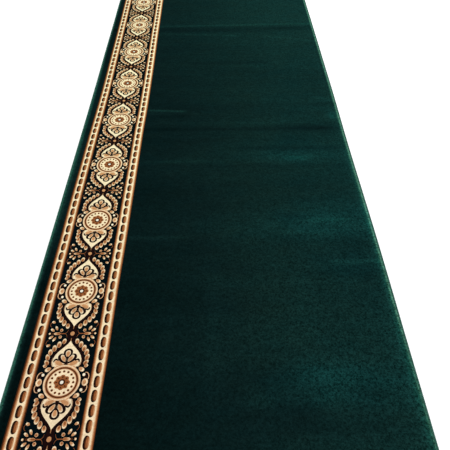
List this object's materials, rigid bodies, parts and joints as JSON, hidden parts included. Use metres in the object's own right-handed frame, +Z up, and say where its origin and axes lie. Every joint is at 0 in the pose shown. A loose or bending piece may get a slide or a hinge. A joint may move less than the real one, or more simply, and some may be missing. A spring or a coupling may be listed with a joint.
{
  "type": "mosque carpet runner",
  "caption": "Long flat cut-pile prayer-hall runner with a plain field, an ornamental border along one edge and overcast edges.",
  "frame": {"origin": "middle of the underside, at the centre of the carpet's outline", "axes": "+Z up through the pile, +Y along the length, and the ornamental border lies along the -X edge"},
  "size_m": [1.208, 3.2, 0.012],
  "materials": {
    "pile": "matt cut pile, very dark green with a soft sheen; border in cream, tan and brown pile on near-black green",
    "serging": "matt overcast yarn, mid green"
  },
  "bodies": {
    "root": {"carpet": "pile", "serging_left": "serging", "serging_right": "serging", "serging_near_end": "serging", "serging_far_end": "serging"}
  },
  "joints": []
}
